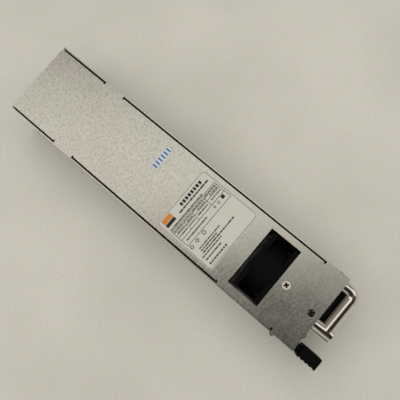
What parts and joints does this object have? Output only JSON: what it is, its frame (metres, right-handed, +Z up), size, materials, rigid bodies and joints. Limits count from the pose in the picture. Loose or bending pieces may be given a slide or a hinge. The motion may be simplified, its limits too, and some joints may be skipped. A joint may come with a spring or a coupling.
{
  "type": "redundant power supply module",
  "caption": "Hot-swap server power supply module, folded steel case, cross fan, mains inlet, bar handle, side latch and rear output connector.",
  "frame": {"origin": "centre of the case's underside, which rests on the bay floor", "axes": "+Z up from the underside, +Y along the length towards the rear connector, +X to the right seen from the front; handle and inlet face -Y"},
  "size_m": [0.0571, 0.259, 0.0401],
  "materials": {
    "galvanised": "satin",
    "sheet_steel": "satin",
    "chrome": "polished",
    "bright_screw": "satin",
    "dark_screw": "satin",
    "black_plastic": "matte",
    "latch_plastic": "matte",
    "spring_steel": "satin",
    "copper": "satin",
    "gold_contact": "polished",
    "lens": "gloss",
    "board": "gloss",
    "insulator": "matte",
    "ferrite": "matte",
    "ring_core": "matte",
    "winding": "gloss",
    "sleeve": "gloss",
    "disc": "gloss",
    "film": "matte",
    "heat_sink": "satin",
    "moulded_black": "matte",
    "label": "matte"
  },
  "bodies": {
    "case": {"chassis_shell": "galvanised", "top_cover": "galvanised", "cover_screw_bright": "bright_screw", "cover_screw_dark": "dark_screw", "front_panel": "sheet_steel", "inlet_housing": "black_plastic", "inlet_blades": "gold_contact", "bar_handle": "chrome", "handle_screws": "bright_screw", "latch_bracket": "sheet_steel", "latch_pin": "spring_steel", "latch_spring": "spring_steel", "status_light": "lens", "fan_frame": "black_plastic", "fan_stator": "copper", "fan_bracket": "sheet_steel", "fan_screws": "bright_screw", "main_board": "board", "board_standoffs": "gold_contact", "board_screws": "bright_screw", "insulating_sheet": "insulator", "rear_panel": "sheet_steel", "output_connector": "black_plastic", "power_contacts": "gold_contact", "signal_pins": "gold_contact", "film_capacitor": "film", "mains_fuse": "insulator", "inrush_relay": "moulded_black", "bridge_rectifier": "moulded_black", "disc_capacitors": "disc", "filter_core": "ring_core", "filter_winding": "winding", "boost_core": "ring_core", "boost_winding": "winding", "bulk_capacitor": "sleeve", "primary_heat_sink": "heat_sink", "primary_devices": "moulded_black", "transformer_core": "ferrite", "transformer_winding": "winding", "secondary_heat_sink": "heat_sink", "secondary_devices": "moulded_black", "output_core": "ring_core", "output_winding": "winding", "output_capacitors": "sleeve", "busbars": "copper", "control_board": "board", "control_chips": "moulded_black", "label_film": "label"},
    "rotor": {"fan_rotor": "black_plastic"},
    "latch": {"latch_lever": "spring_steel", "latch_grip": "latch_plastic"}
  },
  "joints": [
    {"name": "fan_spin", "type": "hinge", "parent": "case", "child": "rotor", "pos_m": [0, -0.076, 0.02], "axis": [0, 1, 0], "continuous": true},
    {"name": "latch_press", "type": "hinge", "parent": "case", "child": "latch", "pos_m": [-0.02389, -0.0615, 0.02], "axis": [0, 0, 1], "range_deg": [0, 5], "stiffness_Nm_per_rad": 4, "springref_deg": -2.01}
  ]
}
